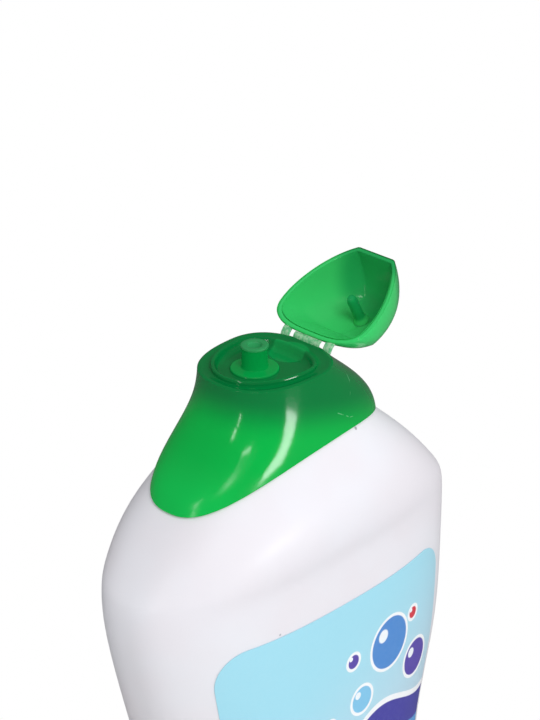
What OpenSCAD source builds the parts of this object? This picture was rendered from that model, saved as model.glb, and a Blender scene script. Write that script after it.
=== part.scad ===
// Flat bottle of cream cleaner, with a press-fit closure and its flip lid open.
// The base stands on z = 0, the broad front face looks along -Y and the lid hinges on the +X side.

/* [Body] */
// Greatest width of the body, at the shoulder
body_w = 100; // [96:1:108]
// Greatest depth of the body, at the shoulder
body_d = 42; // [40:1:46]
// Width at the base
base_w = 92; // [86:1:98]
// Depth at the base
base_d = 40; // [36:1:42]
// How far the grip is drawn in on the nozzle side
grip_left = 14.4; // [10:0.2:16]
// How far the grip is drawn in on the hinge side
grip_right = 8.4; // [5:0.2:10]
// How far the grip is drawn in at the front and at the back
grip_depth = 1.1; // [0.5:0.1:2.5]
// Height of the middle of the grip
grip_z = 84; // [74:1:92]
// Height of the shoulder, where the body is widest
shoulder_z = 158; // [150:1:175]
// How far the shoulder's slope swells at the front and at the back
slope_swell = 4.3; // [2:0.1:5]
// Wall of the blown bottle
bottle_wall = 1.2; // [0.9:0.1:1.6]
// Height of the hollow under the base
push_up = 2.5; // [1.5:0.5:4]
// Width of the ring that the bottle stands on
foot_w = 5; // [4:0.5:7]

/* [Neck] */
// Distance of the neck from the body's middle, towards the nozzle side
neck_off = 1.6; // [0:0.1:2]
// Outer diameter of the neck
neck_od = 20.6; // [19.6:0.2:21]
// Wall of the neck
neck_wall = 1.4; // [1.2:0.1:1.6]
// Height of the neck above the top of the shoulder
neck_h = 9; // [8:0.5:10]
// How far the snap bead stands out of the neck
bead = 0.5; // [0.3:0.1:0.6]

/* [Closure] */
// Height of the middle of the skirt's edge above the shoulder
skirt_rise = 26.8; // [25:0.2:29]
// Height from the middle of the skirt's edge to the deck
skirt_h = 16.4; // [15:0.2:20]
// Reach of the skirt's edge on the nozzle side
skirt_left = 34; // [32:0.5:36]
// Reach of the skirt's edge on the hinge side
skirt_right = 27.7; // [26:0.1:30]
// Depth of the skirt at its edge
skirt_d = 31.6; // [30:0.2:34]
// How far the skirt's edge dips at its two ends
skirt_dip = 5.8; // [4:0.2:8]
// How far the hinge end of the skirt's edge lies above the middle
skirt_lift = 3.4; // [0:0.2:4]
// Reach of the deck on the nozzle side
deck_left = 18.25; // [18:0.25:20]
// Reach of the deck on the hinge side
deck_right = 11.4; // [11:0.2:12.4]
// Depth of the deck
deck_d = 27.4; // [27:0.2:28.6]
// Wall of the closure
closure_wall = 1.2; // [1:0.1:1.4]
// Wall of the skirt at its edge
skirt_edge = 0.7; // [0.6:0.1:1]
// Height of the raised rim that the lid fits around
rim_h = 1.2; // [0.8:0.1:1.6]
// Wall of the raised rim
rim_wall = 0.9; // [0.7:0.1:1.1]
// How far the floor lies below the top of the raised rim
recess = 1.8; // [1.4:0.1:2.2]
// Depth of the snap collar below the floor
collar_h = 8; // [7:0.5:8.5]

/* [Nozzle] */
// Distance of the nozzle from the middle of the neck
nozzle_off = 6; // [5.5:0.1:6.2]
// Diameter of the nozzle
nozzle_d = 5.9; // [5.6:0.1:6.4]
// Height of the nozzle above its disc
nozzle_h = 5.6; // [5:0.1:6]
// Bore of the nozzle
nozzle_bore = 3.2; // [3:0.1:3.4]
// Diameter of the raised disc around the nozzle
disc_d = 11; // [10:0.2:11.4]
// Height of the raised disc
disc_h = 0.7; // [0.5:0.1:0.9]
// Diameter of the round dish beside the nozzle
dish_d = 8.8; // [8:0.2:9.4]
// Distance from the nozzle to the middle of the dish
dish_off = 11.2; // [11:0.1:11.4]

/* [Lid] */
// Reach of the lid's squared front from the middle of the neck
lid_front = 17.6; // [17:0.1:18]
// Width of the lid
lid_w = 26.6; // [26.2:0.2:27]
// Height of the lid's crown above the deck
lid_h = 10.4; // [10:0.1:12]
// Wall of the lid
lid_wall = 1.2; // [1:0.1:1.4]
// How far the crown falls towards the hinge
lid_fall = 7; // [6:0.1:8]
// How far the lid stands open
open_angle = 152; // [140:1:152]
// How far the plug pin reaches into the nozzle
pin_in = 2.6; // [1.5:0.1:2.8]
// Width of the middle film of the hinge
film_w = 8; // [7:0.5:9]
// Width of each hinge strap
strap_w = 2.4; // [2:0.1:2.8]

/* [Labels] */
// Height of the front label's lower edge
label_low = 26; // [22:1:30]
// Distance from the shoulder down to the labels' upper edge
label_drop = 12.8; // [12:0.2:18]
// Width of a label across the face
label_w = 78; // [70:1:80]
// Radius of a label's corners
label_r = 9; // [6:0.5:10]
// Thickness of a label
label_t = 0.2; // [0.15:0.05:0.3]

/* [Hidden] */
// Gap between the closure and the bottle
fit_gap = 0.2;
// Gap between the lid and the deck when the lid is shut
lid_gap = 0.3;
// Gap between the plug pin and the nozzle's bore
pin_gap = 0.35;
// Gap between a label and the body under it, which is glue
glue = 0.06;
// Thickness of the hinge film and of its straps
film_t = 0.4;
strap_t = 0.7;
// Gap from the hinge's strips to the deck, and from the film and the straps to the lid, which bulges there
near_gap = 0.15;
film_gap = 0.45;
strap_gap = 1;
// Distance from the deck's hinge edge to the hinge's axis, inwards and upwards
hinge_in = 1.1;
hinge_up = 0.75;
// Points around a section, and steps between two sections
around = 40;
steps = 2;
$fn = 48;

edge_z = shoulder_z + skirt_rise;
deck_z = edge_z + skirt_h;
floor_z = deck_z + rim_h - recess;
floor_t = 1.2;
neck_base = floor_z - floor_t - fit_gap - neck_h;
hinge_x = deck_right - hinge_in;
hinge_z = deck_z + hinge_up;
neck_r = neck_od / 2;
bore_r = neck_r - neck_wall;
nozzle_top = floor_z + disc_h + nozzle_h;
plan_x = 0.5;
lid_back = hinge_x - 1.5;
strap_y = film_w / 2 + strap_w / 2 + 1.2;

// A section is [height, reach to -X, reach to +X, half depth, squareness, dip of its ends, lift of its +X end].
function inset(s, t, up = 0) = [s[0] + up, s[1] - t, s[2] - t, s[3] - t, s[4], s[5], s[6]];

// One point of a section, at an angle around it
function point(s, angle) =
    let (c = cos(angle))
    let (q = sin(angle))
    let (side = sign(c) * pow(abs(c), 2 / s[4]))
    let (x = side * (c < 0 ? s[1] : s[2]))
    let (y = s[3] * sign(q) * pow(abs(q), 2 / s[4]))
    [x, y, s[0] - s[5] * pow(abs(side), 2.2) + s[6] * side];

function ring(s, n = around) = [for (i = [0 : n - 1]) point(s, 360 * i / n)];

// A smooth run of sections through the pull of the given ones, as a cubic B-spline
function pull(p, i, t) =
    (pow(1 - t, 3) * p[i - 1] + (3 * pow(t, 3) - 6 * t * t + 4) * p[i]
    + (-3 * pow(t, 3) + 3 * t * t + 3 * t + 1) * p[i + 1] + pow(t, 3) * p[i + 2]) / 6;
function ends(p) = concat([p[0], p[0]], p, [p[len(p) - 1], p[len(p) - 1]]);
function run(p, n = steps) =
    let (q = ends(p))
    concat([for (i = [1 : len(q) - 3]) for (k = [0 : (i == 1 || i == len(q) - 3) ? 0 : n - 1]) pull(q, i, k / n)],
        [p[len(p) - 1]]);

// Faces between neighbouring rings of n points, which start at point number first
function bands(count, n, first) =
    [for (i = [0 : count - 2]) for (j = [0 : n - 1]) for (half = [0, 1])
        let (a = first + i * n)
        let (b = a + n)
        let (k = (j + 1) % n)
        half == 0 ? [a + j, b + j, b + k] : [a + j, b + k, a + k]];

// Middle of a ring
function middle(r) = [for (axis = [0 : 2]) let (v = [for (p = r) p[axis]]) (min(v) + max(v)) / 2];

// A closed skin over rings, from the middle of the first to the middle of the last
module skin(rings, low = undef, high = undef) {
    n = len(rings[0]);
    m = len(rings);
    points = concat([is_undef(low) ? middle(rings[0]) : low],
        [for (r = rings) for (p = r) p],
        [is_undef(high) ? middle(rings[m - 1]) : high]);
    start = [for (j = [0 : n - 1]) [0, 1 + j, 1 + (j + 1) % n]];
    finish = [for (j = [0 : n - 1]) [n * m + 1, n * (m - 1) + 1 + (j + 1) % n, n * (m - 1) + 1 + j]];
    polyhedron(points, concat(start, bands(m, n, 1), finish), convexity = 8);
}

// Sections of the body, from the heel to the top of the shoulder
seat = [edge_z, skirt_left - skirt_edge - fit_gap, skirt_right - skirt_edge - fit_gap,
    skirt_d / 2 - skirt_edge - fit_gap, 2.5, skirt_dip, skirt_lift];
body_left = body_w / 2 - neck_off;
body_right = body_w / 2 + neck_off;
half_d = body_d / 2;
base_left = base_w / 2 - neck_off;
base_right = base_w / 2 + neck_off;
heel = [[0, base_left - 5, base_right - 5, base_d / 2 - 4, 2.6, 0, 0],
    [0, base_left - 1.5, base_right - 1.5, base_d / 2 - 1.2, 2.6, 0, 0],
    [4, base_left, base_right, base_d / 2, 2.6, 0, 0],
    [14, base_left, base_right, base_d / 2, 2.5, 0, 0]];
// Height from the middle of the grip, and the shares of the grip's depth on the two sides
grip = [for (g = [[-34, 0.6, 0.6], [-12, 1, 1], [12, 1, 1], [34, 0.56, 0.05], [53, 0.19, 0]])
    [grip_z + g[0], body_left - grip_left * g[1], body_right - grip_right * g[2], half_d - grip_depth * g[1],
        2.5, 0, 0]];
knee = [for (dz = [-8, 0]) [shoulder_z + dz, body_left, body_right, half_d, 2.5, 0, 0]];
slope = [for (g = [[0.12, 0.5], [0.5, 1]])
    let (k = g[0])
    [shoulder_z * (1 - k) + (edge_z + 3) * k, body_left * (1 - k) + seat[1] * k,
        body_right * (1 - k) + seat[2] * k, half_d * (1 - k) + seat[3] * k + slope_swell * g[1],
        2.5, skirt_dip * k, skirt_lift * k]];
under = [[edge_z + 4, seat[1] - 5, seat[2] - 5, seat[3] - 1.2, 2.4, skirt_dip * 0.8, skirt_lift * 0.8],
    [neck_base - 1, 18, 18, neck_r + 1.9, 2.2, 1, 0.3],
    [neck_base, neck_r + 2, neck_r + 2, neck_r + 1.2, 2, 0, 0]];
body_run = run(concat(heel, grip, knee, slope, [seat, seat, seat], under));

module bottle() {
    hole = neck_r - neck_wall / 2;
    top_hole = [neck_base, hole, hole, hole, 2, 0, 0];
    foot = inset(heel[0], foot_w - 1);
    arch = inset(heel[0], foot_w + 2, push_up);
    inner = [for (i = [len(body_run) - 1 : -2 : 0]) let (s = body_run[i]) if (s[0] > 5)
        inset(s, bottle_wall, s[0] > neck_base - 2 ? -bottle_wall : 0)];
    low_in = inset(heel[1], bottle_wall + 3, push_up + bottle_wall);
    color("white") placed() {
        skin(concat([ring(arch), ring(foot)], [for (s = body_run) ring(s)],
            [ring(top_hole), ring(inset(top_hole, 0, -bottle_wall))],
            [for (s = inner) ring(s)], [ring(low_in)]));
        translate([0, 0, neck_base]) neck();
    }
}

// Neck with a snap bead near its mouth
module neck() {
    sunk = bottle_wall / 2;
    rotate_extrude()
        polygon([[bore_r, -sunk], [neck_r, -sunk], [neck_r, neck_h - 3.4], [neck_r + bead, neck_h - 2.6],
            [neck_r + bead, neck_h - 2.2], [neck_r, neck_h - 1], [neck_r - 0.4, neck_h], [bore_r, neck_h]]);
}

// Moves what is modelled around the neck's axis to its place over the body
module placed() {
    translate([-neck_off, 0, 0]) children();
}

// Sections of the closure, from the ledge of the deck to the skirt's edge. The nozzle side flares like
// a bell and the hinge side bulges.
deck = [deck_z, deck_left, deck_right, deck_d / 2, 2.4, 0, 0];
flank = [for (k = [0.12, 0.3, 0.5, 0.7, 0.88])
    let (bell = (1 - cos(180 * pow(k, 1.5))) / 2)
    [deck_z + (edge_z - deck_z) * k, deck_left + (skirt_left - deck_left) * bell,
        deck_right + (skirt_right - deck_right) * pow(sin(90 * k), 1.15), (deck_d + (skirt_d - deck_d) * k) / 2,
        2.4 + 0.1 * k, skirt_dip * k, skirt_lift * k]];
edge = [edge_z, skirt_left, skirt_right, skirt_d / 2, 2.5, skirt_dip, skirt_lift];
flank_run = run(concat([deck], flank, [edge]));

module closure() {
    last = len(flank_run) - 1;
    inner = [for (i = [0 : last]) let (s = flank_run[i]) if (s[0] < floor_z - floor_t - 0.5)
        inset(s, min(closure_wall, skirt_edge + 0.2 * (last - i)))];
    color([0.05, 0.7, 0.3])
        placed() difference() {
            union() {
                skin(concat([ring(inset(deck, closure_wall, floor_z - floor_t - deck_z))],
                    [for (s = inner) ring(s)], [for (i = [last : -1 : 0]) ring(flank_run[i])],
                    [for (k = [[0, 0], [rim_h, 0], [rim_h, rim_wall], [floor_z - deck_z, rim_wall + 0.5]])
                        rim_ring(deck_z + k[0], k[1])]),
                    [-nozzle_off, 0, floor_z - floor_t], [-nozzle_off, 0, floor_z]);
                nozzle();
                collar();
            }
            translate([-nozzle_off, 0, floor_z - floor_t - 1])
                cylinder(d = nozzle_bore, h = nozzle_top - floor_z + floor_t + 2);
            translate([dish_off - nozzle_off, 0, floor_z - floor_t / 2])
                cylinder(d1 = dish_d - 1.4, d2 = dish_d, h = floor_t / 2 + 0.01);
        }
}

// Nozzle with a thin lip, on its raised disc
module nozzle() {
    lip = 0.2;
    translate([-nozzle_off, 0, floor_z - floor_t / 2]) {
        cylinder(d = disc_d, h = floor_t / 2 + disc_h);
        cylinder(d = nozzle_d, h = nozzle_top - floor_z + floor_t / 2);
        translate([0, 0, nozzle_top - floor_z + floor_t / 2 - 0.9]) cylinder(d = nozzle_d + 2 * lip, h = 0.9);
    }
}

// Snap collar around the neck, and the sealing ring inside it
module collar() {
    top = floor_z - floor_t / 2;
    collar_in = neck_r + fit_gap;
    groove = neck_base + neck_h - 2.4;
    seal_out = bore_r - fit_gap;
    rotate_extrude()
        polygon([[collar_in, top], [collar_in, groove + 1.2], [collar_in + bead, groove + 0.4],
            [collar_in + bead, groove - 0.4], [collar_in, groove - 1.2], [collar_in, top - collar_h],
            [collar_in + bead + 0.8, top - collar_h], [collar_in + bead + 0.8, top]]);
    rotate_extrude()
        polygon([[seal_out - 0.8, top], [seal_out - 0.8, top - 3.6], [seal_out - 0.3, top - 3.6],
            [seal_out, top - 3], [seal_out, top]]);
}

// Places what is modelled shut at the angle at which the lid stands open
module opened() {
    translate([hinge_x, 0, hinge_z]) rotate([0, open_angle, 0]) translate([-hinge_x, 0, -hinge_z]) children();
}

// The lid's plan: full at the hinge, drawn in to a squared front. Off is the distance inwards from its outline.
function lid_ring(z, off, share = 1, fall = 0) =
    [for (i = [0 : around - 1])
        let (c = cos(360 * i / around))
        let (q = sin(360 * i / around))
        let (n = c < 0 ? 1.75 : 3)
        let (side = sign(c) * pow(abs(c), 2 / n))
        let (reach = c < 0 ? lid_front + 2.5 + plan_x : lid_back - plan_x)
        let (x = max(side * (reach * share - off), -((lid_front + plan_x) * share - off)))
        let (y = (lid_w / 2 * share - off) * sign(q) * pow(abs(q), 2 / n))
        [plan_x + x, y, z - fall * side]];

// The raised rim that the shut lid fits around, with a round front
function rim_ring(z, off) =
    let (t = lid_wall + lid_gap + off)
    ring([z, lid_front - t - 0.2, lid_back - t - 0.5, lid_w / 2 - t - 0.4, 2.1, 0, 0]);

// The lid when shut: share of its plan at each share of its height
module lid() {
    rim_z = deck_z + lid_gap;
    rise = lid_h - lid_gap;
    out = run([for (k = [0, 0.15, 0.4, 0.65, 0.85, 1]) [rise * sin(90 * k), pow(cos(76 * k), 0.75)]]);
    color([0.15, 0.75, 0.35])
        placed() opened() {
            skin(concat([for (i = [len(out) - 1 : -1 : 0]) let (p = out[i])
                    lid_ring(rim_z + p[0] - lid_wall * p[0] / rise, lid_wall, p[1],
                        lid_fall * p[0] / rise * p[1])],
                [for (p = out) lid_ring(rim_z + p[0], 0, p[1], lid_fall * p[0] / rise * p[1])]));
            pin();
        }
}

// Plug pin that shuts the nozzle
module pin() {
    r = nozzle_bore / 2 - pin_gap;
    tip_r = r - 0.4;
    translate([-nozzle_off, 0, nozzle_top]) {
        translate([0, 0, -pin_in * 0.4])
            cylinder(r = r, h = pin_in * 0.4 + deck_z + lid_h + lid_fall * 0.3 - lid_wall * 0.6 - nozzle_top);
        translate([0, 0, -pin_in]) cylinder(r1 = tip_r, r2 = r, h = pin_in * 0.6);
    }
}

// A thin strip from one point to another, seen from the side, with its ends clear of both
module strip(a, b, thick, wide, far) {
    d = norm(b - a);
    along = (b - a) / d;
    across = [-along[1], along[0]] * thick / 2;
    p = a + along * near_gap;
    q = b - along * far;
    rotate([90, 0, 0])
        translate([0, 0, -wide / 2]) linear_extrude(wide) polygon([p - across, q - across, q + across, p + across]);
}

// Where a point of the shut lid's rim lies once the lid is open, seen from the side
function swung(x, z) =
    let (dx = x - hinge_x)
    let (dz = z - hinge_z)
    [hinge_x + dx * cos(open_angle) + dz * sin(open_angle), hinge_z - dx * sin(open_angle) + dz * cos(open_angle)];

// Reach of the deck on the hinge side, at a distance from the middle
function deck_edge(y) = deck_right * pow(1 - pow(y / (deck_d / 2), 2.4), 1 / 2.4);

// Reach of the shut lid on the hinge side, at a distance from the middle
function lid_edge(y) = plan_x + (lid_back - plan_x) * pow(1 - pow(y / (lid_w / 2), 3), 1 / 3);

// Living hinge: a middle film and two longer straps
module living_hinge() {
    lift = 0.25;
    middle_x = deck_edge(film_w / 2);
    strap_x = deck_edge(strap_y + strap_w / 2);
    color([0.45, 0.8, 0.55])
        placed() {
            strip([middle_x + 0.1, deck_z + lift - 0.3], swung(lid_edge(film_w / 2), deck_z + lid_gap + lift),
                film_t, film_w, film_gap);
            for (side = [-1, 1])
                translate([0, side * strap_y, 0])
                    strip([strap_x + 0.8, deck_z - 0.1],
                        swung(lid_edge(strap_y + strap_w / 2), deck_z + lid_gap + 0.4), strap_t, strap_w, strap_gap);
        }
}

// The body's section at a height, on its facets
function body_at(z, i = 4) =
    body_run[i + 1][0] >= z
        ? let (k = (z - body_run[i][0]) / (body_run[i + 1][0] - body_run[i][0]))
            body_run[i] * (1 - k) + body_run[i + 1] * k
        : body_at(z, i + 1);

label_top = shoulder_z - label_drop;
corner = [for (a = [0 : 22.5 : 90]) [label_r * (1 - cos(a)), label_r * (1 - sin(a))]];
rows = concat([for (c = corner) [label_low + c[0], c[1]]],
    [for (s = body_run) if (s[0] > label_low + label_r + 2 && s[0] < label_top - label_r - 2) [s[0], 0]],
    [for (i = [len(corner) - 1 : -1 : 0]) [label_top - corner[i][0], corner[i][1]]]);

// One row of a label, from its left to its right, at a distance from the body
function label_row(row, off) =
    let (s = inset(body_at(row[0]), -off))
    let (share = label_w / body_w)
    let (left = s[1] * share - row[1])
    let (right = s[2] * share - row[1])
    [for (i = [0 : 20]) let (x = -left + (left + right) * i / 20)
        [x, -s[3] * pow(1 - pow(abs(x) / (x < 0 ? s[1] : s[2]), s[4]), 1 / s[4]), row[0]]];

// A label wrapped on the front of the body
module label() {
    n = 21;
    m = len(rows);
    points = concat([for (r = rows) each label_row(r, glue + label_t)], [for (r = rows) each label_row(r, glue)]);
    faces = [for (i = [0 : m - 2]) for (j = [0 : n - 2]) for (k = [0 : 3])
        let (a = i * n + j)
        let (b = a + n)
        let (o = n * m)
        k == 0 ? [a, b, b + 1] : k == 1 ? [a, b + 1, a + 1]
        : k == 2 ? [a + o, b + 1 + o, b + o] : [a + o, a + 1 + o, b + 1 + o]];
    sides = [for (i = [0 : m - 2]) for (e = [0, 1])
        let (a = i * n + (e == 0 ? 0 : n - 1))
        let (o = n * m)
        e == 0 ? [a, a + o, a + n + o, a + n] : [a, a + n, a + n + o, a + o]];
    caps = [for (j = [0 : n - 2]) for (e = [0, 1])
        let (a = (e == 0 ? 0 : (m - 1) * n) + j)
        let (o = n * m)
        e == 0 ? [a, a + 1, a + 1 + o, a + o] : [a, a + o, a + 1 + o, a + 1]];
    polyhedron(points, concat(faces, sides, caps), convexity = 4);
}

module front_label() {
    color([0.68, 0.87, 0.95]) placed() label();
}

module back_label() {
    color([0.68, 0.87, 0.95]) placed() mirror([0, 1, 0]) label();
}

bottle();
closure();
lid();
living_hinge();
front_label();
back_label();
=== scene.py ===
import math
import bpy
from mathutils import Matrix, Vector


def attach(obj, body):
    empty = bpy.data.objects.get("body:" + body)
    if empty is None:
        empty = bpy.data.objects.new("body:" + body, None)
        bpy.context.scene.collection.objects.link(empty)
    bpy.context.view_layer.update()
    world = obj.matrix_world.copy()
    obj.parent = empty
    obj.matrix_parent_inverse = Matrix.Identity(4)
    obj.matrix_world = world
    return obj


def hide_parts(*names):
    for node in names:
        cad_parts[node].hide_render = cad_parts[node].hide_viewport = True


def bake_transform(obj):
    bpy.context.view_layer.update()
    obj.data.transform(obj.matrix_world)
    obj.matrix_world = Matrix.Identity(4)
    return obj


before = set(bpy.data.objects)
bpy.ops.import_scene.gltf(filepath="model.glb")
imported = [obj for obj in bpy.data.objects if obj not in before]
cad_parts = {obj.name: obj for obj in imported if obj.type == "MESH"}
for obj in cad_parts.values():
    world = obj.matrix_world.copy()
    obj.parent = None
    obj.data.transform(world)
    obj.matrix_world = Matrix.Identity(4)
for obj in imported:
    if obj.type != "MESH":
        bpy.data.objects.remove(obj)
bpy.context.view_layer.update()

# The camera stands where the photograph was taken from: in front, on the nozzle's side and somewhat
# above, with a long lens.
look_at = Vector((-0.0016, 0.0, 0.2012))
rise, turn, distance = math.radians(26.38), math.radians(46.91), 0.6706
away = Vector((math.sin(turn) * math.cos(rise), math.cos(turn) * math.cos(rise), -math.sin(rise)))
lens = bpy.data.cameras.new("camera")
lens.sensor_fit, lens.sensor_height, lens.lens = "VERTICAL", 24.0, 100.0
lens.shift_x, lens.shift_y = -3.1 / 720, -1.7 / 720
lens.clip_start, lens.clip_end = 0.01, 20.0
camera = bpy.data.objects.new("camera", lens)
camera.location = look_at - distance * away
camera.rotation_euler = away.to_track_quat("-Z", "Y").to_euler()
bpy.context.collection.objects.link(camera)
bpy.context.scene.camera = camera
bpy.context.scene.view_settings.view_transform = "Standard"


# Bottle: one hollow body blown from white, slightly cloudy polyethylene, in a flat oval section with a
# grip drawn in below the shoulder. Its short neck is hidden under the closure.
class Wire:
    """An output of a shader node, with arithmetic that adds Math nodes."""

    def __init__(self, tree, socket=None):
        self.tree, self.socket = tree, socket

    def node(self, kind, inputs=(), output=0, **settings):
        """Any other node: its settings, what goes into its inputs, and the output wanted."""
        made = self.tree.nodes.new(kind)
        for name, value in settings.items():
            setattr(made, name, value)
        for name, value in dict(inputs).items():
            if isinstance(value, Wire):
                self.tree.links.new(value.socket, made.inputs[name])
            else:
                made.inputs[name].default_value = value
        return Wire(self.tree, made.outputs[output])

    def maths(self, operation, *others):
        return self.node("ShaderNodeMath", enumerate((self, *others)), operation=operation)

    def __add__(self, other):
        return self.maths("ADD", other)

    def __mul__(self, other):
        return self.maths("MULTIPLY", other)

    __radd__, __rmul__ = __add__, __mul__

    def __sub__(self, other):
        return self.maths("SUBTRACT", other)

    def __rsub__(self, other):
        return self * -1 + other

    def fade(self, low, high):
        """0 below low, 1 above high and smooth between them."""
        return self.node("ShaderNodeMapRange", {"Value": self, "From Min": low, "From Max": high},
                         interpolation_type="SMOOTHSTEP")

    def far_from(self, point):
        """How far this place is from a point."""
        return self.node("ShaderNodeVectorMath", {0: self, 1: point}, output=1, operation="DISTANCE")

    def tint(self, low, high):
        """The colour low where this is 0, and high where it is 1."""
        return self.node("ShaderNodeMix", {0: self, 6: low, 7: high}, output=2, data_type="RGBA")


def paint(red, green, blue):
    """A colour as a screen shows it, from 0 to 255, as Blender's light values."""
    return tuple((c / 255 / 12.92) if c < 11 else ((c / 255 + 0.055) / 1.055) ** 2.4
                 for c in (red, green, blue)) + (1.0,)


def plastic(name, **constants):
    """A new material with its surface's constant values, and its Object coordinates in millimetres."""
    made = bpy.data.materials.new(name)
    made.use_nodes = True
    surface = made.node_tree.nodes["Principled BSDF"]
    for socket, value in constants.items():
        surface.inputs[socket.replace("_", " ")].default_value = value
    start = Wire(made.node_tree)
    place = start.node("ShaderNodeTexCoord", output=3)
    place = start.node("ShaderNodeVectorMath", {0: place, 3: 1000.0}, operation="SCALE")
    apart = [start.node("ShaderNodeSeparateXYZ", {0: place}, output=i) for i in range(3)]
    return made, surface, place, *apart


def feed(surface, socket, wire):
    wire.tree.links.new(wire.socket, surface.inputs[socket])


def alone():
    bpy.ops.object.select_all(action="DESELECT")


# The neck stands this far to the nozzle's side of the body's middle.
neck_off = 1.6


def oval(height, left, right, half, square=2.5, dip=0.0, lift=0.0, centre=0.0):
    """A section in millimetres: its reach to each side of the neck's middle, its half depth, how square
    it is, how far its ends dip and its hinge end lifts."""
    return (height, left, right, half, square, dip, lift, centre)


def drawn_in(section, wall, up=0.0):
    height, left, right, half, *rest = section
    return (height + up, left - wall, right - wall, half - wall, *rest)


def shrunk(section, share, up=0.0):
    height, left, right, half, *rest = section
    return (height + up, left * share, right * share, half * share, *rest)


def on(section, angle):
    """A point of a section, in metres, in the frame's place."""
    height, left, right, half, square, dip, lift, centre = section
    c, s = math.cos(angle), math.sin(angle)
    side = math.copysign(abs(c) ** (2 / square), c)
    x = centre + side * (left if c < 0 else right)
    y = half * math.copysign(abs(s) ** (2 / square), s)
    return Vector((x - neck_off, y, height - dip * abs(side) ** 2.2 + lift * side)) / 1000


def drawn_through(sections, steps):
    """A smooth run of sections through the pull of the given ones."""
    full = [sections[0]] * 2 + list(sections) + [sections[-1]] * 2
    found = []
    for i in range(1, len(full) - 2):
        for k in range(steps):
            t = k / steps
            pull = ((1 - t) ** 3 / 6, (3 * t ** 3 - 6 * t * t + 4) / 6,
                    (-3 * t ** 3 + 3 * t * t + 3 * t + 1) / 6, t ** 3 / 6)
            found.append(tuple(sum(w * full[i - 1 + j][n] for j, w in enumerate(pull))
                               for n in range(len(full[0]))))
    return found + [sections[-1]]


def rolled(name, rings, around, at=on):
    """A grid rolled up over its rings, with its seam and both its ends closed."""
    alone()
    bpy.ops.mesh.primitive_grid_add(x_subdivisions=around, y_subdivisions=len(rings) - 1, size=2)
    piece = bpy.context.object
    piece.name = piece.data.name = name
    for v in piece.data.vertices:
        column = round((v.co.x + 1) / 2 * around)
        row = round((v.co.y + 1) / 2 * (len(rings) - 1))
        v.co = at(rings[row], 2 * math.pi * (column % around) / around)
    bpy.ops.object.mode_set(mode="EDIT")
    bpy.ops.mesh.select_all(action="SELECT")
    bpy.ops.mesh.remove_doubles(threshold=1e-7)
    bpy.ops.mesh.select_all(action="DESELECT")
    bpy.ops.mesh.select_non_manifold()
    bpy.ops.mesh.edge_face_add()
    bpy.ops.mesh.select_all(action="SELECT")
    bpy.ops.mesh.normals_make_consistent(inside=False)
    bpy.ops.object.mode_set(mode="OBJECT")
    bpy.ops.object.shade_smooth_by_angle(angle=math.radians(40))
    return piece


# Reach to the nozzle's side and to the hinge's side of the neck's middle, and half depth
body_left, body_right, body_half = 48.4, 51.6, 21
base_left, base_right, base_half = 44.4, 47.6, 20
shoulder_z, neck_base, neck_r, wall = 158, 190.2, 10.3, 1.2
# The edge of the closure's skirt dips at both ends and lifts towards the hinge, and the shoulder follows it.
edge_z, edge_dip, edge_lift = 184.8, 5.8, 3.4
edge = oval(edge_z, 34, 27.7, 15.8, 2.5, edge_dip, edge_lift)
seat = drawn_in(edge, 0.9)
heel = [oval(0, base_left - 5, base_right - 5, base_half - 4, 2.6),
        oval(0, base_left - 1.5, base_right - 1.5, base_half - 1.2, 2.6),
        oval(4, base_left, base_right, base_half, 2.6), oval(14, base_left, base_right, base_half)]
grip_z, grip_left, grip_right, grip_half = 84, 14.4, 8.4, 1.1
grip = [oval(grip_z + up, body_left - grip_left * a, body_right - grip_right * b, body_half - grip_half * a)
        for up, a, b in [(-34, 0.6, 0.6), (-12, 1, 1), (12, 1, 1), (34, 0.56, 0.05), (53, 0.19, 0)]]
knee = [oval(height, body_left, body_right, body_half) for height in (shoulder_z - 8, shoulder_z)]
bulge = 4.3
slope = [oval(shoulder_z * (1 - k) + (edge_z + 3) * k, body_left * (1 - k) + seat[1] * k,
              body_right * (1 - k) + seat[2] * k, body_half * (1 - k) + seat[3] * k + bulge * swell, 2.5,
              edge_dip * k, edge_lift * k)
         for k, swell in [(0.12, 0.5), (0.5, 1)]]
under = [oval(edge_z + 4, seat[1] - 5, seat[2] - 5, seat[3] - 1.2, 2.4, edge_dip * 0.8, edge_lift * 0.8),
         oval(neck_base - 1, 18, 18, 12.2, 2.2, 1, 0.3), oval(neck_base, 12.3, 12.3, 11.5, 2)]
body_run = drawn_through(heel + grip + knee + slope + [seat] * 3 + under, 5)
neck = [oval(neck_base + up, neck_r + off, neck_r + off, neck_r + off, 2) for up, off in
        [(0.1, 0.3), (0.5, 0), (5.6, 0), (6.4, 0.5), (6.8, 0.5), (8, 0), (8.9, -0.4), (9, -0.7),
         (9, -1.2), (8.8, -1.4), (0.2, -1.4), (-1.2, -1)]]
inner = [drawn_in(s, wall, -wall if s[0] > neck_base - 2 else 0.0)
         for s in reversed(body_run[::2]) if s[0] > 5]
foot = [shrunk(heel[0], share, 2.9) for share in (0, 0.3, 0.6)]
foot += [drawn_in(heel[0], off, up) for off, up in [(6.6, 2.5), (5.4, 1.7), (4.3, 0.4), (3.2, 0)]]
floor_in = [drawn_in(heel[1], 4.2, 3.7), shrunk(heel[1], 0.5, 4.0), shrunk(heel[1], 0, 4.1)]
bottle = rolled("bottle_body_shell", foot + body_run + neck + inner + floor_in, 144)

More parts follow.
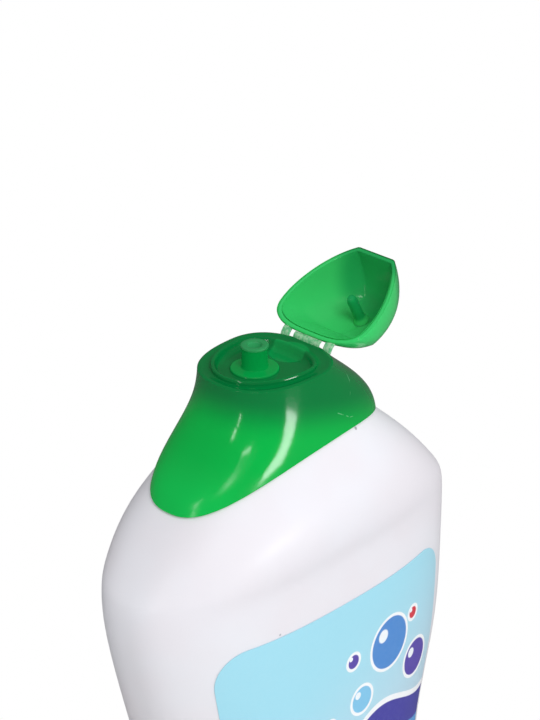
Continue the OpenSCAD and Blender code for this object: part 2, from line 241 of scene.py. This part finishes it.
white, skin, place, x, y, z = plastic("bottle_white", Roughness=0.42, IOR=1.5, Coat_Weight=0.12,
                                      Coat_Roughness=0.25)
cloud = z.node("ShaderNodeTexNoise", {"Vector": place, "Scale": 0.035, "Detail": 2.0})
pale = z.fade(20, 175).tint(paint(231, 229, 229), paint(238, 238, 245))
pale = (cloud.fade(0.35, 0.7) * 0.6).tint(pale, paint(236, 230, 236))
nick_at, speck_at = (9.9, -14.7, 184.4), (-20.7, -20.0, 145.9)
pale = (place.far_from(nick_at).fade(0.55, 0.25) * 0.7).tint(pale, paint(120, 126, 130))
pale = (place.far_from(speck_at).fade(0.4, 0.2) * 0.6).tint(pale, paint(150, 155, 165))
feed(skin, "Base Color", pale)
grain = z.node("ShaderNodeTexNoise", {"Vector": place, "Scale": 1.6, "Detail": 3.0})
feed(skin, "Roughness", grain.fade(0.2, 0.8) * 0.08 + 0.38)
feed(skin, "Normal", z.node("ShaderNodeBump", {"Height": grain, "Strength": 0.05, "Distance": 0.0002}))
bottle.data.materials.append(white)
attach(bottle, "bottle_body")
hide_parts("bottle")

# Closure: one moulding of glossy green polypropylene. A skirt flares over the shoulder, and on the deck a
# rim, a recess, a raised disc and the nozzle follow each other inwards. It is pressed on over the bead.
deck_z, floor_z, nozzle_top = 201.2, 200.6, 206.9
deck_right, deck_half, deck_square = 11.4, 13.7, 2.4
deck = oval(deck_z, 18.25, deck_right, deck_half, deck_square)
flank = [oval(deck_z + (edge_z - deck_z) * k,
              deck[1] + (edge[1] - deck[1]) * (1 - math.cos(math.pi * k ** 1.5)) / 2,
              deck_right + (edge[2] - deck_right) * math.sin(math.pi / 2 * k) ** 1.15,
              deck_half + (edge[3] - deck_half) * k, deck_square + 0.1 * k, edge_dip * k, edge_lift * k)
         for k in (0.12, 0.3, 0.5, 0.7, 0.88)]
# The flank falls from the deck to the skirt's edge, and its wall thins towards that edge.
flank_run = drawn_through([deck] + flank + [edge], 7)
lining = [drawn_in(s, min(wall, 0.7 + 0.04 * (len(flank_run) - 1 - i))) for i, s in enumerate(flank_run)
          if s[0] < floor_z - 1.7]
rim = oval(deck_z, 15.9, 6.8, 11.4, 2.1)
nozzle_x, disc_r, bore_r = -6, 5.75, 1.6
dish_x, dish_r, dish_slope, dish_deep = 5.2, 4.7, 1.1, 0.62


def rim_at(up, off):
    return drawn_in(rim, off, up)


def disc_at(height, radius):
    return oval(height, radius, radius, radius, 2, centre=nozzle_x)


ledge = [drawn_in(deck, off, up) for off, up in
         [(0.05, 0.08), (0.25, 0.19), (0.6, 0.23), (1.0, 0.19), (1.35, 0.08)]]
crown = [rim_at(up, off) for up, off in
         [(0.0, -0.25), (0.12, -0.05), (0.4, 0.0), (0.95, 0.0), (1.15, 0.12), (1.2, 0.35), (1.16, 0.6),
          (1.0, 0.85), (0.6, 1.02), (0.2, 1.2), (-0.2, 1.45), (-0.45, 1.8), (-0.58, 2.3)]]
pan_steps = 30
pan = [tuple(a + (b - a) * k / pan_steps for a, b in zip(crown[-1], disc_at(floor_z, disc_r)))
       for k in range(1, pan_steps)]
plate = floor_z - wall
spout = [disc_at(floor_z + up, r) for up, r in
         [(0, disc_r), (0.12, 5.55), (0.55, 5.45), (0.68, 5.3), (0.72, 5.0), (0.75, 3.5), (0.9, 3.12),
          (1.3, 2.98)]]
spout += [disc_at(nozzle_top - down, r) for down, r in
          [(1.0, 2.93), (0.8, 3.05), (0.35, 3.15), (0.12, 3.1), (0, 2.92), (0, 2.2), (0.1, 1.75),
           (0.4, bore_r)]]
spout += [disc_at(plate + 0.1, bore_r), disc_at(plate, bore_r + 0.1), disc_at(plate, 3.0)]
closure = rolled("closure_moulding", lining + list(reversed(flank_run)) + ledge + crown + pan + spout
                 + [drawn_in(deck, 1.3, plate - deck_z), lining[0]], 144)
for v in closure.data.vertices:
    from_dish = math.hypot(v.co.x * 1000 - (dish_x - neck_off), v.co.y * 1000)
    if from_dish < dish_r and abs(v.co.z * 1000 - floor_z) < 0.2:
        share = min(1, (dish_r - from_dish) / dish_slope)
        v.co.z -= dish_deep / 1000 * share * share * (3 - 2 * share)

# The collar around the neck's bead and the sealing ring inside it hang under the deck, in the same moulding.
collar_top = floor_z - 0.6
collar_rings = [oval(up, r, r, r, 2) for up, r in
                [(collar_top, 10.5), (193.1, 10.5), (192.6, 10.6), (192.6, 11.5), (192.9, 11.6),
                 (collar_top, 11.6)]]
seal_rings = [oval(up, r, r, r, 2) for up, r in
              [(collar_top, 7.9), (196.6, 7.9), (196.4, 8.0), (196.4, 8.4), (197, 8.7), (collar_top, 8.7)]]
for name, rings in (("snap_collar", collar_rings), ("sealing_ring", seal_rings)):
    ring = rolled(name, rings + rings[:1], 72)
    ring.select_set(True)
    closure.select_set(True)
    bpy.context.view_layer.objects.active = closure
    bpy.ops.object.join()

green, skin, place, x, y, z = plastic("closure_green", Roughness=0.12, IOR=1.5)
# Painted shade: the closure is painted darker green towards the deck, where the collar's shadow shows through
# the plastic, and this dark reaches lower on the hinge's side.
painted_collar_shadow = (z + x * 0.25).fade(185.5, 195.5)
body_green = painted_collar_shadow.tint(paint(0, 178, 70), paint(0, 122, 58))
# Painted light: the lower end of the skirt on the nozzle's side is painted a lighter green, a glow of light
# through the plastic.
body_green = (x.fade(-22, -34) * z.fade(190, 180)).tint(body_green, paint(0, 190, 78))
from_above = z.node("ShaderNodeCombineXYZ", {0: x, 1: y})
nozzle_side = from_above.far_from((nozzle_x - neck_off, 0, 0))
near_nozzle = nozzle_side.fade(5.7, 5.3) * z.fade(floor_z + 0.05, floor_z + 0.5)
body_green = near_nozzle.tint(body_green, paint(4, 160, 72))
top = nozzle_side.fade(3.3, 3.1) * z.fade(nozzle_top - 0.9, nozzle_top - 0.3)
speckle = z.node("ShaderNodeTexNoise", {"Vector": place, "Scale": 2.2, "Detail": 4.0})
# Painted light: the inside of the bore is painted lighter, to take away the shade that falls in the hole.
bore_painted_lighter = nozzle_side.fade(1.75, 1.6) * z.fade(floor_z + 1, nozzle_top - 1.5)
body_green = (top * (speckle * 0.5 + 0.5)).tint(body_green, paint(46, 152, 90))
body_green = bore_painted_lighter.tint(body_green, paint(60, 176, 108))
dish_side = from_above.far_from((dish_x - neck_off, 0, 0))
in_dish = dish_side.fade(dish_r + 0.2, dish_r - 0.5) * z.fade(199.5, 199.9)
body_green = in_dish.tint(body_green, paint(10, 150, 74))


def scratch(place, start, end, width):
    """1 on a thin line between two points, and 0 away from it."""
    start, end = Vector(start), Vector(end)
    run = end - start
    share = place.node("ShaderNodeVectorMath", {0: place, 1: start}, operation="SUBTRACT")
    share = place.node("ShaderNodeVectorMath", {0: share, 1: run / run.length_squared}, output=1,
                       operation="DOT_PRODUCT").maths("MAXIMUM", 0.0).maths("MINIMUM", 1.0)
    nearest = place.node("ShaderNodeVectorMath", {0: share, 1: run, 2: start}, operation="MULTIPLY_ADD")
    return place.far_from(nearest).fade(width, width * 0.4)


worn = place.node("ShaderNodeTexNoise", {"Vector": place, "Scale": 0.7, "Detail": 2.0}).fade(0.35, 0.55)
flank_scratches = (((10.6, -10.6, 198.2), (10.3, -12.2, 195.6)), ((10.3, -12.2, 195.6), (8.9, -13.8, 192.9)),
                   ((3.6, -14.9, 190.7), (7.7, -15.0, 188.2)), ((7.7, -15.0, 188.2), (11.5, -14.9, 187.4)),
                   ((13.0, -14.2, 189.8), (14.2, -13.8, 188.4)))
for ends in flank_scratches:
    body_green = (scratch(place, *ends, width=0.16) * worn * 0.55).tint(body_green, paint(120, 205, 150))
feed(skin, "Base Color", body_green)
foot_wear = x.fade(-19, -23) * z.fade(187, 183)
feed(skin, "Roughness", top * 0.3 + foot_wear * 0.08 + (speckle.fade(0.3, 0.8) * 0.06 + 0.11))
ripple = z.node("ShaderNodeTexNoise", {"Vector": place, "Scale": 0.25, "Detail": 2.0})
height = ripple * 0.4 + top * speckle * 0.5
feed(skin, "Normal", z.node("ShaderNodeBump", {"Height": height, "Strength": 0.25, "Distance": 0.0004}))
closure.data.materials.clear()
closure.data.materials.append(green)
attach(closure, "bottle_body")
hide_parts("closure")

# Lid: a boat-shaped cap of the same moulding, with a squared beak and, inside, the pin that plugs the
# nozzle. It stands open, 152 degrees from shut, turned about the hinge at the deck's edge.
hinge_x, hinge_z, opening = 10.3, 201.95, math.radians(152)


def opened(x_, y_, z_):
    """Where a point of the shut lid, in millimetres from the neck's middle, is on the open one, in metres."""
    dx, dz = x_ - hinge_x, z_ - hinge_z
    return Vector((hinge_x + dx * math.cos(opening) + dz * math.sin(opening) - neck_off, y_,
                   hinge_z - dx * math.sin(opening) + dz * math.cos(opening))) / 1000


lid_middle, lid_foot, lid_high, lid_fall = 0.5, 201.5, 10.1, 7
# The beak is pointed, and cut off square at lid_beak. The hinge's side is nearly straight.
lid_point, lid_beak, lid_back, lid_half, beak_square, back_square = 20.6, 18.1, 8.3, 13.3, 1.75, 3


def on_lid(ring, angle):
    """A point of the open lid, on a ring given by its height, wall, share of the outline and fall."""
    up, off, share, fall = ring
    c, s = math.cos(angle), math.sin(angle)
    square = beak_square if c < 0 else back_square
    side = math.copysign(abs(c) ** (2 / square), c)
    x_ = max(side * ((lid_point if c < 0 else lid_back) * share - off), -(lid_beak * share - off))
    y_ = (lid_half * share - off) * math.copysign(abs(s) ** (2 / square), s)
    return opened(lid_middle + x_, y_, lid_foot + up - fall * side)


profile = drawn_through([(lid_high * math.sin(math.pi / 2 * k), math.cos(math.radians(76 * k)) ** 0.75)
                         for k in (0, 0.15, 0.4, 0.65, 0.85, 1)], 7)
lid_top = [(lid_high + 0.06, 0.27), (lid_high + 0.1, 0.18), (lid_high + 0.12, 0.09), (lid_high + 0.13, 0)]
outside = [(up, 0, share, lid_fall * min(up / lid_high, 1) * share) for up, share in profile[1:] + lid_top]
inside = [(up * (1 - wall / lid_high), wall * min(1, share / 0.3), share, fall)
          for up, _, share, fall in outside]
lip = [(0.5, wall, 1, 0), (0.25, 1.14, 1, 0), (0.08, 0.95, 1, 0), (0.0, 0.62, 1, 0), (0.08, 0.3, 1, 0),
       (0.25, 0.08, 1, 0), (0.5, 0, 1, 0)]
lid = rolled("lid_moulding", inside[::-1] + lip + outside, 144, on_lid)
pin_rings = [(nozzle_top + up, r) for up, r in
             [(-2.6, 0), (-2.57, 0.35), (-2.45, 0.65), (-2.2, 0.92), (-1.8, 1.08), (-1.04, 1.25), (3.4, 1.28),
              (4.4, 1.36), (4.9, 1.6), (5.6, 1.9), (5.6, 0)]]
pin = rolled("plug_pin", pin_rings, 48,
             lambda ring, a: opened(nozzle_x + ring[1] * math.cos(a), ring[1] * math.sin(a), ring[0]))
lid.select_set(True)
pin.select_set(True)
bpy.context.view_layer.objects.active = lid
bpy.ops.object.join()

light_green, skin, place, x, y, z = plastic("lid_green", Roughness=0.18, IOR=1.5, Specular_IOR_Level=0.4)
sheen = z.node("ShaderNodeTexNoise", {"Vector": place, "Scale": 0.12, "Detail": 2.0})
lid_colour = (x * 0.5 + sheen * 10).fade(2, 22).tint(paint(54, 218, 112), paint(62, 202, 108))
pin_middle = opened(nozzle_x, 0, nozzle_top + 0.6) * 1000
pin_near = place.far_from(pin_middle).fade(4.6, 3.4)
# Painted shade: the wall of the beak is painted a darker teal green.
lid_colour = (x.fade(27.5, 32) * 0.7).tint(lid_colour, paint(14, 150, 78))
lid_colour = pin_near.tint(lid_colour, paint(24, 158, 86))
feed(skin, "Base Color", lid_colour)
feed(skin, "Roughness", sheen * 0.1 + 0.12)
feed(skin, "Normal", z.node("ShaderNodeBump", {"Height": sheen, "Strength": 0.2, "Distance": 0.0005}))
lid.data.materials.append(light_green)
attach(lid, "lid_body")
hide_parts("lid")

# Living hinge: a thin middle film and two straps of the same plastic, gone pale where they have been
# stretched.
pale_green, skin, place, x, y, z = plastic("hinge_pale", Roughness=0.3, IOR=1.5)
stretch = z.node("ShaderNodeTexNoise", {"Vector": place, "Scale": 1.3, "Detail": 3.0})
feed(skin, "Base Color", stretch.fade(0.35, 0.65).tint(paint(96, 196, 132), paint(170, 222, 178)))
feed(skin, "Roughness", stretch * 0.2 + 0.22)
feed(skin, "Normal", z.node("ShaderNodeBump", {"Height": stretch, "Strength": 0.3, "Distance": 0.0003}))


def web(name, foot_at, head_at, y_, thick, wide):
    """A flexible strip with round edges from the deck to the lid, both points seen from the side."""
    steps = 12
    ax, az = foot_at
    bx, bz = head_at
    length = math.hypot(bx - ax, bz - az)
    bow_high = 0.25
    tx, tz = (bx - ax) / length, (bz - az) / length

    def at(ring, angle):
        k, share = ring
        bow = bow_high * math.sin(math.pi * k)
        c, s = math.cos(angle), math.sin(angle)
        across = share * wide / 2 * math.copysign(abs(c) ** 0.4, c)
        through = share * thick / 2 * math.copysign(abs(s) ** 0.6, s) + bow
        return Vector((ax + (bx - ax) * k - tz * through - neck_off, y_ + across,
                       az + (bz - az) * k + tx * through)) / 1000

    rings = [(0, 0)] + [(k / steps, 1) for k in range(steps + 1)] + [(1, 0)]
    piece = rolled(name, rings, 32, at)
    piece.data.materials.append(pale_green)
    (ax - neck_off) / 1000
    az / 1000
    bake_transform(piece)
    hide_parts("living_hinge")


def deck_edge(y_):
    return deck_right * (1 - (abs(y_) / deck_half) ** deck_square) ** (1 / deck_square)


def lid_edge(y_):
    return lid_middle + lid_back * (1 - (abs(y_) / lid_half) ** back_square) ** (1 / back_square)


film_wide, strap_far, strap_at, strap_wide = 8, 7.6, 6.4, 2.4
film_head = opened(lid_edge(film_wide / 2), 0, lid_foot + 0.7) * 1000
web("hinge_film", (deck_edge(film_wide / 2) - 0.3, deck_z + 0.05), (film_head.x + neck_off, film_head.z),
    0, 0.4, film_wide)
strap_head = opened(lid_edge(strap_far) - 0.3, 0, lid_foot + 0.5) * 1000
for name, side in (("hinge_strap_front", -1), ("hinge_strap_back", 1)):
    web(name, (deck_edge(strap_far) + 0.5, deck_z - 0.3), (strap_head.x + neck_off, strap_head.z),
        side * strap_at, 0.7, strap_wide)

# Labels: thin film with round corners, stuck on the flat of the front and of the back. The print is a
# plain one of waves and bubbles, in the blues, violet, white and red that such a label has.
label_low, label_top, corner, label_reach, film_thick = 26.0, 145.2, 9.0, 0.78, 0.0001
body_fine = drawn_through(heel + grip + knee + slope, 24)


def body_at(height):
    """The body's section at a height."""
    for low, high in zip(body_fine[60:], body_fine[61:]):
        if low[0] <= height <= high[0]:
            k = (height - low[0]) / (high[0] - low[0])
            return tuple(a * (1 - k) + b * k for a, b in zip(low, high))


def label(name, facing, columns=90, rows=110):
    """A film that follows the body, facing -1 on the front and 1 on the back."""
    alone()
    bpy.ops.mesh.primitive_grid_add(x_subdivisions=columns, y_subdivisions=rows, size=2)
    piece = bpy.context.object
    piece.name = piece.data.name = name
    for v in piece.data.vertices:
        k = (v.co.y + 1) / 2
        height = label_low + (label_top - label_low) * (0.5 - 0.5 * math.cos(math.pi * k))
        near_end = min(height - label_low, label_top - height)
        cut = corner - math.sqrt(max(0, corner ** 2 - (corner - near_end) ** 2)) if near_end < corner else 0
        section = drawn_in(body_at(height), -0.1)
        left, right = section[1] * label_reach - cut, section[2] * label_reach - cut
        x_ = -left + (left + right) * (v.co.x + 1) / 2
        reach = section[1] if x_ < 0 else section[2]
        depth = section[3] * (1 - (abs(x_) / reach) ** section[4]) ** (1 / section[4])
        v.co = Vector((x_ - neck_off, facing * depth, height)) / 1000
    bpy.ops.object.mode_set(mode="EDIT")
    bpy.ops.mesh.select_all(action="SELECT")
    if facing > 0:
        bpy.ops.mesh.flip_normals()
    bpy.ops.object.mode_set(mode="OBJECT")
    film = piece.modifiers.new("film", "SOLIDIFY")
    film.thickness, film.offset = film_thick, 1.0
    bpy.ops.object.modifier_apply(modifier="film")
    bpy.ops.object.shade_smooth_by_angle(angle=math.radians(40))
    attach(piece, "bottle_body")
    return piece


def print_on(name, bubbles, crest, lean):
    """The printed film: waves below a crest that leans, and bubbles given by place, radius and colour."""
    made, skin, place, x, y, z = plastic(name, Roughness=0.32, IOR=1.48)
    flat = z.node("ShaderNodeCombineXYZ", {0: x, 2: z})
    colour = (x * 0.6 - z).fade(-140, -60).tint(paint(163, 225, 243), paint(202, 219, 234))
    swell = (x * 0.13).maths("SINE") * 5
    for drop, tone in ((0, paint(250, 252, 255)), (1.6, paint(64, 60, 165)), (9, paint(90, 160, 222)),
                       (17, paint(120, 205, 236))):
        under = (swell + x * lean + (crest - drop)) - z
        colour = under.fade(-0.15, 0.15).tint(colour, tone)
    for cx, cz, r, tone in bubbles:
        off_middle = flat.far_from((cx, 0, cz))
        colour = off_middle.fade(r + 0.15, r - 0.15).tint(colour, paint(250, 252, 255))
        colour = off_middle.fade(r - 0.65, r - 0.95).tint(colour, tone)
        glint = flat.far_from((cx - 0.35 * r, 0, cz + 0.38 * r))
        colour = glint.fade(0.26 * r, 0.2 * r).tint(colour, paint(245, 250, 255))
    grain = z.node("ShaderNodeTexNoise", {"Vector": place, "Scale": 0.9, "Detail": 3.0})
    feed(skin, "Base Color", (grain * 0.05).tint(colour, paint(255, 255, 255)))
    feed(skin, "Roughness", grain * 0.12 + 0.26)
    feed(skin, "Normal", z.node("ShaderNodeBump", {"Height": grain, "Strength": 0.06, "Distance": 0.0002}))
    return made


violet, middle_blue = paint(86, 66, 172), paint(74, 140, 214)
sky, red = paint(128, 200, 238), paint(214, 40, 60)
front_label = label("front_label_film", -1)
front_bubbles = [(17, 127, 7.5, middle_blue), (28.5, 117, 5.5, violet), (7, 116, 4.2, sky),
                 (26.5, 130.5, 2.3, red), (3.5, 128, 2.6, violet), (-4, 113.5, 2.2, middle_blue)]
front_label.data.materials.append(print_on("front_print", front_bubbles, crest=104, lean=0.22))
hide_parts("front_label")
back_label = label("back_label_film", 1)
back_bubbles = [(-14, 122, 5, middle_blue), (-4, 128, 3, sky)]
back_label.data.materials.append(print_on("back_print", back_bubbles, crest=52, lean=0.1))
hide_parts("back_label")

# Studio: a pale floor that turns to plain white away from the object, a soft white surround and two lamps.
# Four more only draw highlights on the closure: three narrow ones in a row, and one like a window.
alone()
bpy.ops.mesh.primitive_grid_add(x_subdivisions=8, y_subdivisions=8, size=8)
floor = bpy.context.object
floor.name = "floor"
ground = bpy.data.materials.new("floor_pale")
ground.use_nodes = True
tree = ground.node_tree
surface = tree.nodes["Principled BSDF"]
surface.inputs["Base Color"].default_value = paint(240, 240, 240)
surface.inputs["Roughness"].default_value = 0.9
surface.inputs["Specular IOR Level"].default_value = 0.0
start = Wire(tree)
spot = start.node("ShaderNodeTexCoord", output=3)
reach = start.node("ShaderNodeVectorMath", {0: spot}, output=1, operation="LENGTH")
seen = start.node("ShaderNodeLightPath", output=0)
mirrored = start.node("ShaderNodeLightPath", output=3)
glow = start.node("ShaderNodeEmission", {"Color": (1, 1, 1, 1), "Strength": seen * 0.86 + 0.14})
mixed = start.node("ShaderNodeMixShader", {0: (reach.fade(0.08, 0.16) * seen).maths("MAXIMUM", mirrored),
                                           1: Wire(tree, surface.outputs[0]), 2: glow})
tree.links.new(mixed.socket, tree.nodes["Material Output"].inputs["Surface"])
floor.data.materials.append(ground)

world = bpy.data.worlds.new("surround")
world.use_nodes = True
bpy.context.scene.world = world
tree = world.node_tree
start = Wire(tree)
seen = start.node("ShaderNodeLightPath", output=0)
shown = tree.nodes["Background"]
shown.inputs["Color"].default_value = (1, 1, 1, 1)
mirrored = start.node("ShaderNodeLightPath", output=3)
tree.links.new((seen * 0.48 + 0.52 - mirrored * 0.42).socket, shown.inputs["Strength"])


closure_middle = Vector((-0.02, 0, 0.19))


def lamp(name, at, width, height, power, lights=False, along=(0, 0, 1)):
    """A lamp that faces the closure, its height lying along a direction. It lights or draws a highlight."""
    light = bpy.data.lights.new(name, "AREA")
    light.shape, light.size, light.size_y, light.energy = "RECTANGLE", width, height, power
    made = bpy.data.objects.new(name, light)
    back = (Vector(at) - closure_middle).normalized()
    sideways = Vector(along).cross(back).normalized()
    facing = Matrix((sideways, back.cross(sideways), back)).transposed().to_4x4()
    made.matrix_world = Matrix.Translation(at) @ facing
    made.visible_camera, made.visible_glossy, made.visible_diffuse = False, not lights, lights
    bpy.context.collection.objects.link(made)


lamp("key", (-0.7, -1.3, 1.5), 0.9, 0.9, 20, lights=True)
lamp("side", (1.2, -0.8, 0.9), 0.6, 0.8, 5, lights=True)
# Each narrow lamp runs between two directions from the closure's middle, a metre away, at its own power.
streaks = (((-1.0, -0.2, -0.02), (-0.95, -0.1, 0.3), 0.5),
           ((-0.93, -0.06, 0.36), (-0.82, 0.02, 0.56), 0.5),
           ((-0.61, -0.4, 0.71), (-0.53, -0.62, 0.58), 0.45))
for number, (low_end, high_end, power) in enumerate(streaks):
    low_end, high_end = Vector(low_end), Vector(high_end)
    lamp(f"streak_lamp_{number + 1}", (low_end + high_end) / 2 + closure_middle, 0.05,
         (high_end - low_end).length, power, along=high_end - low_end)
lamp("window_lamp", (0.15, -0.58, 0.13), 0.17, 0.1, 0.6)

bpy.context.view_layer.update()
